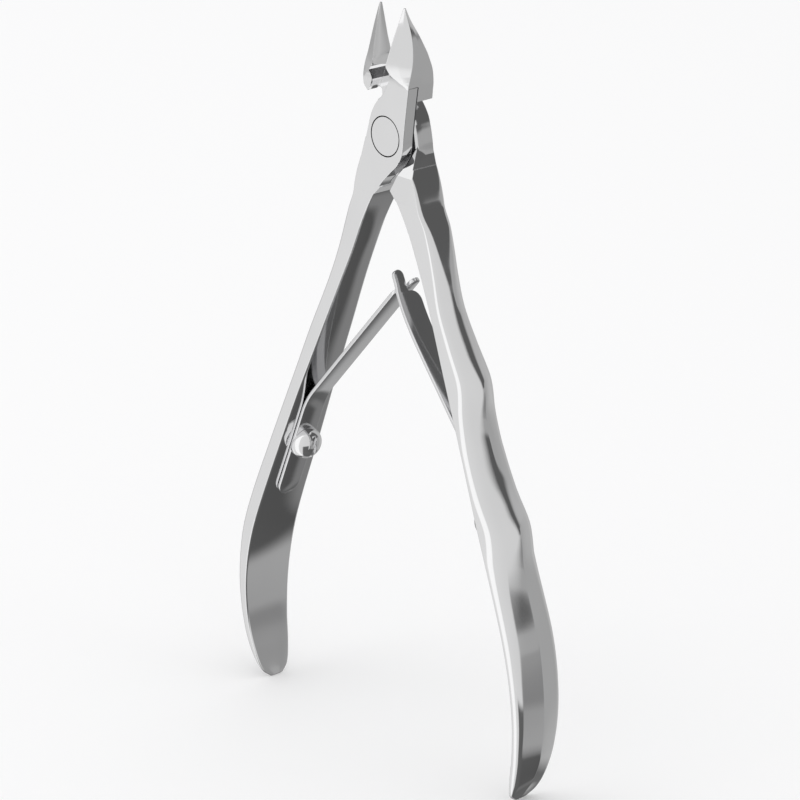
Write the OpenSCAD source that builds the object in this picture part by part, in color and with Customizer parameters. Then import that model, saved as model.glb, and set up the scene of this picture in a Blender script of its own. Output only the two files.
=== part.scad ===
// Cuticle nipper: two forged halves crossed in a half-lap joint, a flush
// pivot pin, and a pair of leaf springs screwed to the insides of the handles.
//
// Frame: +Z runs from the handle ends up to the jaw tips, X runs across the
// handles, and the pivot axis is the Y axis. The front of the nipper, with the
// cutting edges, faces -Y. The origin is where the pivot axis meets the rear
// face of the joint, the face the nipper lies on. The nipper is drawn open.
//
// Half A ("front_half") is the left handle, the front joint plate and the
// right jaw. Half B ("rear_half") is the right handle, the rear joint plate
// and the left jaw. All lengths are in millimetres.

/* [Lap joint] */
// Thickness of the closed lap joint
joint_t = 5.6; // [5.2:0.1:6.0]
// Thickness of the front joint plate
front_plate_t = 2.3; // [2.0:0.1:2.6]
// Clearance between the two lap faces
lap_gap = 0.03; // [0.02:0.01:0.06]
// Diameter of the flush pin head
pin_head_d = 6.2; // [5.6:0.1:6.4]
// Depth of the flush pin head
pin_head_t = 1.2; // [1.0:0.1:1.4]
// Diameter of the pin shank
pin_d = 4.0; // [3.4:0.1:4.4]
// Diameter of the peened rear end of the pin
pin_tail_d = 5.2; // [4.8:0.1:5.6]
// Radial clearance of the pin in the front plate
pin_clear = 0.03; // [0.02:0.01:0.06]

/* [Jaws] */
// Height of the jaw tips above the pivot axis
tip_z = 20.0; // [19.5:0.1:20.5]
// Half of the angle the jaws stand open
open_half = 7.1; // [6.8:0.1:7.4]
// Clearance left between the cutting edges when the jaws are shut
edge_gap = 0.03; // [0.01:0.01:0.05]
// Depth of the hollow grind behind each cutting edge
hollow = 0.28; // [0.1:0.02:0.4]

/* [Handles] */
// Distance from the pivot axis to the ends of the handles
handle_end = 101.2; // [99:0.2:104]
// Height of the lengthways ridge on the finger handle
ridge_h = 1.0; // [0.6:0.1:1.2]
// Height of the crown on the palm handle
crown_h = 0.7; // [0.4:0.1:1.0]

/* [Leaf springs] */
// Thickness of the spring leaves
leaf_t = 0.6; // [0.5:0.05:0.7]
// Width of the spring leaves
leaf_w = 4.4; // [4.2:0.1:4.6]
// Distance of the screw from the bend, along the foot
screw_s = 9.2; // [8:0.1:10]
// Angle of the left arm from the vertical
arm_left_a = 41.1; // [40:0.1:42]
// Angle of the right arm from the vertical
arm_right_a = 39.2; // [38.5:0.1:40]

/* [Spring screws] */
// Diameter of the round screw head
head_d = 5.4; // [5.0:0.1:5.8]
// Height of the round screw head
head_h = 2.7; // [2.2:0.1:2.9]
// Diameter of the screw shank
shank_d = 2.0; // [1.8:0.1:2.2]
// Length of the shank below the leaf
shank_l = 1.7; // [1.4:0.1:1.9]
// Width of the driver slot
slot_w = 0.7; // [0.5:0.1:0.9]

/* [Hidden] */
$fn = 64;
T = joint_t;
yl = -T/2 + front_plate_t;        // lap plane, measured from the mid plane
gf = yl - lap_gap/2;              // back of the front plate
gr = yl + lap_gap/2;              // front of the rear plate
k = tan(open_half);
seat = 0.03;                      // film of clearance under the leaf feet
foot_a = atan(0.4);               // lean of the straight stretch of the handles

// ---- curves ------------------------------------------------------------
// Smooth curve through design stations [z, value...], given from top to bottom
function seg(t, z) = max([for (i = [0:len(t)-2]) if (i == 0 || z <= t[i][0]) i]);
function crv(t, z, c = 1) =
    let (i = seg(t, z), n = len(t),
         a = t[max(i-1, 0)], b = t[i], d = t[i+1], e = t[min(i+2, n-1)],
         h = d[0]-b[0], u = (z-b[0])/h,
         mb = (d[c]-a[c])/(d[0]-a[0]), md = (e[c]-b[c])/(e[0]-b[0]))
    (2*u*u*u-3*u*u+1)*b[c] + (u*u*u-2*u*u+u)*h*mb
    + (3*u*u-2*u*u*u)*d[c] + (u*u*u-u*u)*h*md;
// Smooth open curve through plane points, m pieces between neighbours
function cat(p, m) = [for (i = [0:len(p)-2]) let (a = p[max(i-1, 0)], b = p[i],
    c = p[i+1], d = p[min(i+2, len(p)-1)]) each [for (j = [0:m-1]) let (u = j/m)
    0.5*(2*b + (c-a)*u + (2*a-5*b+4*c-d)*u*u + (3*b-a-3*c+d)*u*u*u)],
    p[len(p)-1]];

// Solid through a stack of equal-length rings, first ring on top
module loft(rings) {
    n = len(rings[0]);
    m = len(rings);
    polyhedron(points = [for (r = rings) each r],
        faces = concat(
            [[for (i = [0:n-1]) i]],
            [for (j = [0:m-2], i = [0:n-1]) let (q = (i+1)%n)
                each [[j*n+i, (j+1)*n+i, j*n+q], [j*n+q, (j+1)*n+i, (j+1)*n+q]]],
            [[for (i = [n-1:-1:0]) (m-1)*n+i]]));
}
// Plate of constant thickness between two Y levels, drawn in X and Z
module slab(y0, y1) translate([0, y1, 0]) rotate([90, 0, 0])
    linear_extrude(y1-y0) children();
module flip(s) mirror([s < 0 ? 1 : 0, 0, 0]) children();

// ---- handles -----------------------------------------------------------
hz = handle_end/101.2;
// Inside face of a handle: [z, distance from the centre line, half width]
inner = [[-4.2, -2.4, 2.78], [-7.3, 0.7, 2.78], [-10, 2.78, 2.77], [-14, 4.85, 2.65],
         [-20, 7.45, 2.55], [-26, 10.1, 2.8], [-34, 13.5, 3.3], [-42, 16.9, 3.75],
         [-47, 19.0, 4.05], [-57, 23.0, 4.5], [-68, 27.4, 4.8], [-74, 29.5, 4.9],
         [-80, 30.9, 4.85], [-86, 31.5, 4.65], [-92, 31.2, 4.25], [-97, 30.2, 3.6],
         [-100, 29.45, 2.7], [-101.2, 29.1, 1.3]];
// Depth of the palm handle at its edges
palm = [[-4, 8], [-10, 4.4], [-13, 4.1], [-20, 3.5], [-26, 3.15], [-35, 3.2],
        [-46, 2.95], [-57, 3.05], [-66, 3.15], [-73, 3.0], [-80, 2.5],
        [-90, 1.95], [-97, 1.7], [-101.2, 0.6]];
// Depth of the finger handle at its edges, with two knuckles between the
// finger hollows
finger = [[-4, 8], [-10, 4.6], [-13, 4.6], [-16, 4.3], [-20, 3.75], [-25, 3.1],
          [-30, 3.65], [-34.5, 4.4], [-36.5, 4.2], [-40, 3.3], [-45, 2.65],
          [-49, 2.65], [-53, 3.3], [-56.3, 4.1], [-58.5, 3.9], [-62, 3.1],
          [-66, 2.65], [-74, 2.4], [-80, 2.05], [-90, 1.8], [-97, 1.6], [-101.2, 0.6]];
function rim(z) = min(1, max(0.12, (-z-8)/7));

// Ring round a handle at height z: flat inside face, rounded edges and an
// outside that rises to a ridge on the mid plane
function ring(z, tab, rise, sg) =
    let (x0 = crv(inner, z, 1), w = crv(inner, z, 2), t = crv(tab, z),
         tail = max(0, (-z-96)/5.2), r1 = min(0.45*rim(z), t*0.4, w*0.4),
         r2 = min(0.8*rim(z), t*0.5, w*0.4), top = rise*rim(z+6)*(1-0.6*tail),
         wi = w-r2,
         half = concat(
            [for (a = [0, 45, 90]) [r1-r1*cos(a), w-r1+r1*sin(a)]],
            [for (a = [0, 30, 60]) [t-r2+r2*sin(a), w-r2+r2*cos(a)]],
            [for (v = [1, 0.62, 0.3]) [t+top*(1-pow(v, 1.25)), wi*v]]),
         loop = concat([for (p = half) p], [[t+top, 0]],
            [for (i = [len(half)-1:-1:0]) [half[i][0], -half[i][1]]]))
    [for (p = loop) [x0+p[0]+0.25*tail*tail*(t/2-p[0]), sg*p[1], z*hz]];
stations = concat([-4.2, -6, -8], [for (z = [-10:-2:-96]) z],
    [-97.2, -98.4, -99.4, -100.2, -100.8, -101.2]);
module handle(sx, tab, rise) flip(sx) loft([for (z = stations) ring(z, tab, rise, 1)]);

// ---- lap joint ---------------------------------------------------------
// Outline of a joint plate, with the throat of its own jaw
plate_pts = concat(
    cat([[1.2, 9.4], [0.1, 7.6], [-0.75, 6.2], [-2.05, 4.95], [-3.15, 3.1],
         [-3.9, 0.6], [-4.5, -1.5], [-5.0, -2.9], [-5.85, -5.7], [-7.0, -9.6]], 4),
    cat([[-2.45, -9.6], [-0.6, -7.3], [1.2, -5.5], [2.6, -4.15], [3.55, -2.7],
         [3.95, -1.2], [4.08, 0.3], [4.3, 2.35], [4.55, 4.35], [4.82, 6.35], [5.1, 8.3]], 3));
// Top of a handle in the other half's layer, clear of that half's plate
wall_pts = concat(
    cat([[1.15, -8.3], [2.2, -6.55], [3.0, -5.15], [3.75, -3.75], [4.2, -2.4], [4.42, -1.0]], 4),
    [[4.6, -1.6], [5.0, -2.9], [5.85, -5.7], [7.0, -9.6], [2.45, -9.6]]);
// The rear plate is fuller on its outer shoulder
rear_pts = concat(
    cat([[1.2, 9.4], [0.1, 7.6], [-0.75, 6.2], [-2.3, 4.95], [-3.55, 3.2],
         [-4.1, 1.6], [-4.55, -0.4], [-5.1, -2.7], [-5.95, -5.7], [-7.1, -9.6]], 4),
    cat([[-2.45, -9.6], [-0.6, -7.3], [1.2, -5.5], [2.6, -4.15], [3.55, -2.7],
         [3.95, -1.2], [4.08, 0.3], [4.3, 2.35], [4.55, 4.35], [4.82, 6.35], [5.1, 8.3]], 3));
module plate_outline() polygon(plate_pts);
module rear_outline() polygon(rear_pts);
module wall_outline() polygon(wall_pts);
// Wedge that slopes the shoulder of a handle from its face back to the lap plane
module ramp(dir) translate([0, dir*T/2, -5.5]) rotate([dir*30, 0, 0])
    translate([-12, dir < 0 ? -6 : 0, 0]) cube([24, 6, 12]);

// ---- jaws --------------------------------------------------------------
// Cutting edge: [z, y]; below the heel it falls back to the joint face
edge_y = [[20.4, -1.45], [20, -1.6], [18.3, -2.15], [16.2, -2.88], [14.1, -3.5],
          [12.2, -4.0], [11.2, -4.22], [10.3, -3.4], [9.4, -2.79], [8.4, -2.78], [5.3, -2.78]];
// Ridge between the front face and the outside: [z, x, y]
ridge = [[20.4, 2.66, -1.45], [20, 2.8, -1.5], [19.2, 3.1, -1.52], [17.4, 3.78, -1.47],
         [15.6, 4.36, -1.47], [13.9, 4.72, -1.6], [12, 5.01, -1.9],
         [10.4, 5.15, -2.35], [8.4, 5.05, -2.79], [7.2, 4.9, -2.78], [5.3, 4.6, -2.78]];
// Corner at the back of the jaw: [z, x, y]
back = [[20.4, 2.62, -1.35], [20, 2.72, -1.3], [18, 3.1, -0.5], [16, 3.74, 0.48],
        [14.3, 4.17, 1.22], [12.85, 4.44, 1.84], [10.5, 4.64, 2.58], [8.4, 4.66, 2.78],
        [7.2, 4.55, 2.78], [5.3, 4.38, 2.78]];
// How far the inside of the jaw reaches round towards the back corner
throat = [[20.4, 0.92], [12.5, 0.92], [11.4, 0.86], [10.6, 0.5], [9.8, 0.12],
          [9.0, 0.02], [5.3, 0.02]];
function jaw_ring(z) =
    let (e = [k*z + edge_gap, crv(edge_y, z)],
         r = [crv(ridge, z, 1), crv(ridge, z, 2)],
         b = [crv(back, z, 1), crv(back, z, 2)],
         f = crv(throat, z), s = min(1, max(0.06, (z-8)/4)),
         i = [e[0]+(b[0]-0.25-e[0])*f, e[1]+(b[1]-e[1])*(0.97+0.03*(1-s))],
         h = hollow*s*min(1, (20.6-z)/4),
         m1 = e+(i-e)*0.33+[h*0.75, 0], m2 = e+(i-e)*0.66+[h, 0],
         o = (r+b)/2+[0.25*s*min(1, (20.6-z)/5), 0])
    [for (p = [e, m1, m2, i, b, o, r, (e+r)/2+[0, -0.05*s]]) [p[0], p[1], z*tip_z/20]];
jaw_z = [20, 19.6, 19, 18.2, 17.4, 16.5, 15.6, 14.8, 13.9, 13, 12.2, 11.6, 11.2,
         10.8, 10.4, 10, 9.4, 8.9, 8.4, 7.8, 7.2, 6.4, 5.3];
module jaw(sx) flip(sx) loft([for (z = jaw_z) jaw_ring(z)]);
// Space kept clear under the jaw in the other half's layer
module claw_gap() polygon(concat([[-3, 4], [7, 4], [7, 7.6], [5.3, 7.6], [5.0, 7.35],
    [4.05, 6.4], [3.45, 7.2]], throat_pts));
// The same for the right jaw, whose claw reaches further down at the back
module long_claw_gap() polygon(concat([[-3, 4], [7, 4], [7, 5.95], [4.3, 5.9],
    [3.75, 5.65], [3.35, 6.3], [3.1, 7.4]], throat_pts));
throat_pts = [[3.0, 8.3], [2.8, 9.2], [2.5, 10.1], [2.0, 10.7], [1.3, 11.15], [-3, 11.15]];

// ---- spring screws and leaves, drawn in the leaf's own frame --------------
// u runs from the bend down the foot, v is the width, w stands off the handle
module on_foot(sx) flip(-sx)
    translate([-(19.0-0.4*(47-bend_z(sx))), 0, -bend_z(sx)])
    rotate([0, 90+foot_a, 0]) children();
function bend_z(sx) = sx < 0 ? 47.9 : 45.8;
foot_len = [20.5, 22.8];
module foot(sx) {
    l = sx < 0 ? foot_len[0] : foot_len[1];
    s = sx < 0 ? screw_s : screw_s+2.2;
    on_foot(sx) translate([0, 0, seat]) difference() {
        linear_extrude(leaf_t) union() {
            translate([leaf_t/2+0.03, -leaf_w/2]) square([l-leaf_w/2-leaf_t/2-0.03, leaf_w]);
            translate([l-leaf_w/2, 0]) circle(d = leaf_w);
        }
        translate([s, 0, -1]) cylinder(d = shank_d+0.1, h = leaf_t+2);
    }
}
module screw(sx) {
    s = sx < 0 ? screw_s : screw_s+2.2;
    on_foot(sx) translate([s, 0, seat+leaf_t]) {
        difference() {
            rotate_extrude() polygon(concat([[0, 0], [head_d/2-0.1, 0], [head_d/2, 0.15]],
                [for (a = [0:7.5:90]) [head_d/2*cos(a), 0.6+(head_h-0.6)*sin(a)]]));
            translate([-head_d, -slot_w/2, head_h-0.9]) cube([2*head_d, slot_w, 2]);
        }
        translate([0, 0, -leaf_t-seat-shank_l]) cylinder(d = shank_d, h = leaf_t+seat+shank_l+0.2);
    }
}
module screw_hole(sx) {
    s = sx < 0 ? screw_s : screw_s+2.2;
    on_foot(sx) translate([s, 0, -shank_l-0.2]) cylinder(d = shank_d+0.06, h = shank_l+1);
}
// Bend line of each leaf: x and z of its middle layer
function bend(sx) = let (b = bend_z(sx), x = 19.0-0.4*(47-b))
    [sx*(x-(seat+leaf_t/2)*cos(foot_a)), -b-(seat+leaf_t/2)*sin(foot_a)];
// Arm drawn along s from the bend; the middle layer lies on the bend line
module on_arm(sx, a) translate([bend(sx)[0], 0, bend(sx)[1]])
    flip(-sx) rotate([0, a-90, 0]) rotate([0, 0, 0]) children();

// ---- pieces ------------------------------------------------------------
module seat_pin_bores() {
    // Bore and counterbore of the front plate
    translate([0, gf+1, 0]) rotate([90, 0, 0]) cylinder(d = pin_d+2*pin_clear, h = T);
    translate([0, -T/2+pin_head_t+0.02, 0]) rotate([90, 0, 0])
        cylinder(d = pin_head_d+2*pin_clear, h = 4);
}
module tail_pin_bores() {
    // Bore and countersink of the rear plate
    translate([0, T, 0]) rotate([90, 0, 0]) cylinder(d = pin_d+0.04, h = 2*T);
    translate([0, T, 0]) rotate([90, 0, 0]) cylinder(d = pin_tail_d+0.04, h = T/2+0.82);
}

module front_half() color("gainsboro") translate([0, -T/2, 0]) difference() {
    union() {
        slab(-T/2, gf) plate_outline();
        difference() {
            union() {
                mirror([1, 0, 0]) slab(-T/2, T/2) wall_outline();
                handle(-1, palm, crown_h);
            }
            mirror([1, 0, 0]) slab(gf, T) over_wall();
            ramp(1);
        }
        difference() { jaw(1); slab(gf, T) long_claw_gap(); }
    }
    seat_pin_bores();
    screw_hole(-1);
}
module rear_half() color("silver") translate([0, -T/2, 0]) difference() {
    union() {
        mirror([1, 0, 0]) slab(gr, T/2) rear_outline();
        difference() {
            union() {
                slab(-T/2, T/2) wall_outline();
                handle(1, finger, ridge_h);
            }
            slab(-T, gr) over_wall();
            ramp(-1);
        }
        difference() { jaw(-1); mirror([1, 0, 0]) slab(-T*2, gr) claw_gap(); }
    }
    tail_pin_bores();
    screw_hole(1);
}
// Everything above the wall, cleared from the top of the handle
module over_wall() polygon(concat([for (p = cat([[1.15, -8.3], [2.2, -6.55],
    [3.0, -5.15], [3.75, -3.75], [4.2, -2.4], [4.42, -1.0]], 4)) p],
    [[4.6, 2], [-9, 2], [-9, -8.3]]));

module pivot_pin() color("whitesmoke") translate([0, -T/2, 0]) union() {
    translate([0, -T/2+pin_head_t, 0]) rotate([90, 0, 0]) cylinder(d = pin_head_d, h = pin_head_t);
    translate([0, T/2, 0]) rotate([90, 0, 0]) cylinder(d = pin_d, h = T);
    translate([0, T/2, 0]) rotate([90, 0, 0]) cylinder(d = pin_tail_d, h = 0.8);
}

module left_leaf_foot() color("lightsteelblue") translate([0, -T/2, 0]) foot(-1);
module right_leaf_foot() color("lightsteelblue") translate([0, -T/2, 0]) foot(1);
module left_leaf_screw() color("white") translate([0, -T/2, 0]) screw(-1);
module right_leaf_screw() color("white") translate([0, -T/2, 0]) screw(1);

// Flat strip of leaf from s0 to s1, with its own half widths in v
module strip(s0, s1, v0, v1) translate([s0, v0, -leaf_t/2]) cube([s1-s0, v1-v0, leaf_t]);
module left_leaf_arm() color("lightgray") translate([0, -T/2, 0]) on_arm(-1, arm_left_a) {
    w = leaf_w/2;
    rotate([90, 0, 0]) cylinder(d = leaf_t, h = leaf_w, center = true);
    difference() {
        translate([0, 0, -leaf_t/2]) linear_extrude(leaf_t) polygon([[0, -w], [28.3, -w+0.1],
            [29.5, -w+0.3], [30.3, -w+0.8], [30.6, -w+1.5], [30.6, 0.12], [32.5, 0.12],
            [32.9, 0.5], [32.9, w-0.8], [32.5, w-0.35], [31, w-0.2], [0, w]]);
    }
}
module right_leaf_arm() color("lightgray") translate([0, -T/2, 0]) on_arm(1, arm_right_a) {
    w = leaf_w/2;
    rotate([90, 0, 0]) cylinder(d = leaf_t, h = leaf_w, center = true);
    translate([0, 0, -leaf_t/2]) linear_extrude(leaf_t) polygon([[0, -w], [24.3, -w+0.15],
        [24.3, -0.12], [25.9, -0.12], [25.9, w-1.6], [25.7, w-0.9], [25.1, w-0.3],
        [24.2, w], [0, w]]);
    // Tongue, bent up so that it hooks past the other leaf
    translate([24.3, 0, 0]) rotate([0, -29, 0]) translate([0, 0, -leaf_t/2])
        linear_extrude(leaf_t) polygon([[0, -w+0.15], [4.9, -w+0.3], [5.5, -w+0.7],
            [5.5, -0.5], [5.1, -0.12], [0, -0.12]]);
    translate([24.3, -w+0.15, 0]) rotate([-90, 0, 0]) cylinder(d = leaf_t, h = w-0.27);
}

front_half();
rear_half();
pivot_pin();
left_leaf_foot();
left_leaf_arm();
left_leaf_screw();
right_leaf_foot();
right_leaf_arm();
right_leaf_screw();
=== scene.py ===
"""Cuticle nipper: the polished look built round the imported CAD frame.

Lengths below are in millimetres in a frame whose XZ plane is the middle of the
joint; put() turns them into the row frame in metres (origin on the rear face).
"""
import math

import bmesh
import bpy
import numpy as np
from mathutils import Matrix, Vector


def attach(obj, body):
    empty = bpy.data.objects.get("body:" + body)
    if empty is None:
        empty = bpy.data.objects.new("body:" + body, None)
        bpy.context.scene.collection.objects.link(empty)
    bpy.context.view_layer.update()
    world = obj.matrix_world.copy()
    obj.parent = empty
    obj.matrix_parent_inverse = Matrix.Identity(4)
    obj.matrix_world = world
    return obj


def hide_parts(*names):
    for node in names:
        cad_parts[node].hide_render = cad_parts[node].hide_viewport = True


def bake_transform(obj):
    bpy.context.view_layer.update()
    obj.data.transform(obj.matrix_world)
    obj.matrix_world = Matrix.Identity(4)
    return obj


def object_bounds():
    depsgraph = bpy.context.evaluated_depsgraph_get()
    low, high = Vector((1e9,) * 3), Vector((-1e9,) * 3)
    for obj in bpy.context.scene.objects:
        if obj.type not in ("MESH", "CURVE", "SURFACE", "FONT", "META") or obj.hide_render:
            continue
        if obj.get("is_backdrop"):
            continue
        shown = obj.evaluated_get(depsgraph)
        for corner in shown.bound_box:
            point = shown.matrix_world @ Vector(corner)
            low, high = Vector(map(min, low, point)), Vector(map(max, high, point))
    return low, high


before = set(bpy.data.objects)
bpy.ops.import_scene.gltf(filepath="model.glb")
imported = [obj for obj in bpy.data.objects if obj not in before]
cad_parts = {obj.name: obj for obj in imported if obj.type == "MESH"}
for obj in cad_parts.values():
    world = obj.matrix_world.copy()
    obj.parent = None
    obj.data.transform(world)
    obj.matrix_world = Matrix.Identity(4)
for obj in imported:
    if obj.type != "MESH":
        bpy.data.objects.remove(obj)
cad_lo, cad_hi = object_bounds()

T = 5.6                      # thickness of the closed joint
FRONT_T = 2.3                # thickness of the front plate
YL = -T / 2 + FRONT_T        # lap plane
GF, GR = YL - 0.015, YL + 0.015
OPEN = math.radians(7.1)
K = math.tan(OPEN)


# ---------------------------------------------------------------- curves ----
def crv(t, z, c=1):
    """Smooth curve through stations [z, value...] listed from top to bottom."""
    n = len(t)
    i = 0
    for j in range(n - 1):
        if j == 0 or z <= t[j][0]:
            i = j
    a, b, d, e = t[max(i - 1, 0)], t[i], t[i + 1], t[min(i + 2, n - 1)]
    h = d[0] - b[0]
    u = (z - b[0]) / h
    mb = (d[c] - a[c]) / (d[0] - a[0])
    md = (e[c] - b[c]) / (e[0] - b[0])
    return ((2 * u ** 3 - 3 * u ** 2 + 1) * b[c] + (u ** 3 - 2 * u ** 2 + u) * h * mb
            + (3 * u ** 2 - 2 * u ** 3) * d[c] + (u ** 3 - u ** 2) * h * md)


def cat(p, m):
    """Smooth open curve through plane points, m pieces between neighbours."""
    out = []
    for i in range(len(p) - 1):
        a, b, c, d = (np.array(p[max(i - 1, 0)], float), np.array(p[i], float),
                      np.array(p[i + 1], float), np.array(p[min(i + 2, len(p) - 1)], float))
        for j in range(m):
            u = j / m
            out.append(0.5 * (2 * b + (c - a) * u + (2 * a - 5 * b + 4 * c - d) * u * u
                              + (3 * b - a - 3 * c + d) * u ** 3))
    out.append(np.array(p[-1], float))
    return [tuple(q) for q in out]


def smooth(a, b, x):
    t = min(1.0, max(0.0, (x - a) / (b - a)))
    return t * t * (3 - 2 * t)


def round_poly(pts, radii, seg=4):
    """Closed plane polygon with each corner turned into an arc of seg pieces."""
    n = len(pts)
    out = []
    for i in range(n):
        p0, p1, p2 = (np.array(pts[i - 1], float), np.array(pts[i], float),
                      np.array(pts[(i + 1) % n], float))
        a, b = p0 - p1, p2 - p1
        la, lb = np.linalg.norm(a), np.linalg.norm(b)
        a, b = a / la, b / lb
        half = math.acos(max(-1, min(1, float(a @ b)))) / 2
        r = radii[i]
        cut = min(r / max(math.tan(half), 1e-6), 0.45 * la, 0.45 * lb)
        s, e = p1 + a * cut, p1 + b * cut
        for j in range(seg + 1):
            t = j / seg
            out.append(tuple((1 - t) ** 2 * s + 2 * t * (1 - t) * p1 + t * t * e))
    return out


# ---------------------------------------------------------------- meshes ----
UNIT = [0.001]               # 1.0 while solids are being cut, so that they are cut in millimetres


def put(co):
    co = np.asarray(co, float).reshape(-1, 3).copy()
    co[:, 1] -= T / 2
    return co * UNIT[0]


def mesh_object(name, verts, faces):
    me = bpy.data.meshes.new(name)
    me.from_pydata([tuple(v) for v in put(verts)], [], [tuple(int(i) for i in f) for f in faces])
    me.validate()
    o = bpy.data.objects.new(name, me)
    bpy.context.scene.collection.objects.link(o)
    bm = bmesh.new()
    bm.from_mesh(me)
    bmesh.ops.recalc_face_normals(bm, faces=bm.faces)
    bm.to_mesh(me)
    bm.free()
    return o


def loft(name, rings, cap=True):
    """Solid through rings of equal length, quads between neighbours."""
    n, m = len(rings[0]), len(rings)
    verts = [p for r in rings for p in r]
    faces = []
    for j in range(m - 1):
        for i in range(n):
            q = (i + 1) % n
            faces.append((j * n + i, j * n + q, (j + 1) * n + q, (j + 1) * n + i))
    if cap:
        faces.append(tuple(range(n - 1, -1, -1)))
        faces.append(tuple(range((m - 1) * n, m * n)))
    return mesh_object(name, verts, faces)


def slab(name, outline, y0, y1, r_front=0.0, r_back=0.0, seg=4):
    """Plate drawn in X and Z between two Y levels, its front or back rim rounded."""
    p = np.array(outline, float)
    area = 0.5 * np.sum(p[:, 0] * np.roll(p[:, 1], -1) - np.roll(p[:, 0], -1) * p[:, 1])
    d1 = np.roll(p, -1, 0) - p
    d0 = p - np.roll(p, 1, 0)
    d1 /= np.linalg.norm(d1, axis=1)[:, None]
    d0 /= np.linalg.norm(d0, axis=1)[:, None]
    t = d0 + d1
    t /= np.linalg.norm(t, axis=1)[:, None]
    inward = np.stack([-t[:, 1], t[:, 0]], 1) * (1 if area > 0 else -1)
    levels = []
    if r_front:
        dep, off = r_front if isinstance(r_front, tuple) else (r_front, r_front)
        for j in range(seg + 1):
            a = math.pi / 2 * (1 - j / seg)
            levels.append((y0 + dep * (1 - math.sin(a)), off * (1 - math.cos(a))))
    else:
        levels.append((y0, 0.0))
    if r_back:
        dep, off = r_back if isinstance(r_back, tuple) else (r_back, r_back)
        for j in range(seg + 1):
            a = math.pi / 2 * j / seg
            levels.append((y1 - dep * (1 - math.sin(a)), off * (1 - math.cos(a))))
    else:
        levels.append((y1, 0.0))
    rings = []
    for y, off in levels:
        q = p + inward * off
        rings.append([(x, y, z) for x, z in q])
    return loft(name, rings)


def apply_boolean(obj, other, op="UNION", self_cut=False):
    mod = obj.modifiers.new("b", "BOOLEAN")
    mod.operation = op
    mod.solver = "EXACT"
    mod.use_self = self_cut
    mod.object = other
    dg = bpy.context.evaluated_depsgraph_get()
    me = bpy.data.meshes.new_from_object(obj.evaluated_get(dg))
    obj.modifiers.clear()
    old = obj.data
    obj.data = me
    bpy.data.meshes.remove(old)
    bpy.data.objects.remove(other, do_unlink=True)
    bm = bmesh.new()
    bm.from_mesh(me)
    bmesh.ops.remove_doubles(bm, verts=bm.verts, dist=2e-4 * UNIT[0])
    bmesh.ops.dissolve_degenerate(bm, edges=bm.edges, dist=2e-4 * UNIT[0])
    bm.to_mesh(me)
    bm.free()
    return obj


def tidy(obj, angle=26.0, merge=0.002, crisp=False):
    """Weld, recalculate normals, mark edges sharper than angle."""
    bm = bmesh.new()
    bm.from_mesh(obj.data)
    bmesh.ops.remove_doubles(bm, verts=bm.verts, dist=merge * 0.001)
    bmesh.ops.dissolve_degenerate(bm, edges=bm.edges, dist=merge * 0.001)
    bmesh.ops.recalc_face_normals(bm, faces=bm.faces)
    lim = math.radians(angle)
    for f in bm.faces:
        f.smooth = True
    for e in bm.edges:
        c = 1000 * (e.verts[0].co + e.verts[1].co) / 2
        heel = crisp and 8.0 < c.z < 11.7 and abs(c.y - YL) > 2.7
        e.smooth = not (len(e.link_faces) != 2 or e.calc_face_angle(0.0) > (math.radians(7) if heel else lim))
    bm.to_mesh(obj.data)
    bm.free()
    return obj


def weighted(obj):
    mod = obj.modifiers.new("normals", "WEIGHTED_NORMAL")
    mod.keep_sharp = True
    mod.weight = 60
    mod.mode = "FACE_AREA_WITH_ANGLE"
    return obj


# --------------------------------------------------------------- handles ----
INNER = [[-4.2, -2.4, 2.79], [-7.3, 0.7, 2.79], [-10, 2.78, 2.78], [-14, 4.85, 2.66],
         [-20, 7.45, 2.57], [-26, 10.1, 2.8], [-34, 13.5, 3.3], [-42, 16.9, 3.75],
         [-47, 19.0, 4.05], [-57, 23.0, 4.5], [-68, 27.4, 4.8], [-74, 29.5, 4.9],
         [-80, 30.9, 4.85], [-86, 31.5, 4.65], [-92, 31.2, 4.25], [-97, 30.2, 3.6],
         [-100, 29.45, 2.7], [-101.2, 29.1, 1.3]]
PALM = [[-4, 8], [-10, 4.4], [-13, 4.1], [-20, 3.5], [-26, 3.15], [-35, 3.2],
        [-46, 2.95], [-57, 3.05], [-66, 3.15], [-73, 3.0], [-80, 2.5],
        [-90, 1.95], [-97, 1.7], [-101.2, 0.6]]
FINGER = [[-4, 8], [-10, 4.6], [-13, 4.6], [-16, 4.3], [-20, 3.75], [-25, 3.1],
          [-30, 3.65], [-34.5, 4.4], [-36.5, 4.2], [-40, 3.3], [-45, 2.65],
          [-49, 2.65], [-53, 3.3], [-56.3, 4.1], [-58.5, 3.9], [-62, 3.1],
          [-66, 2.65], [-74, 2.4], [-80, 2.05], [-90, 1.8], [-97, 1.6], [-101.2, 0.6]]
# Height of the crown over the edge, and how roof-like (low) or flat (high) it is
PALM_TOP = [[-4, 0.1], [-10, 0.35], [-20, 0.7], [-40, 0.7], [-70, 0.7], [-90, 0.6],
            [-97, 0.4], [-101.2, 0.1]]
FINGER_TOP = [[-4, 0.12], [-10, 0.35], [-20, 0.75], [-30, 0.85], [-35.5, 1.15], [-41, 0.75],
              [-48, 0.85], [-55.5, 1.15], [-60, 0.9], [-66, 0.8], [-80, 0.8], [-90, 0.8],
              [-97, 0.5], [-101.2, 0.1]]
PALM_P = [[-4, 5.0], [-12, 4.5], [-22, 2.6], [-34, 2.0], [-101.2, 1.9]]
FINGER_P = [[-4, 7.0], [-10, 6.5], [-14, 4.2], [-18, 2.4], [-21, 1.6], [-25, 1.4], [-34, 1.35],
            [-60, 1.15], [-101.2, 1.12]]
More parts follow.
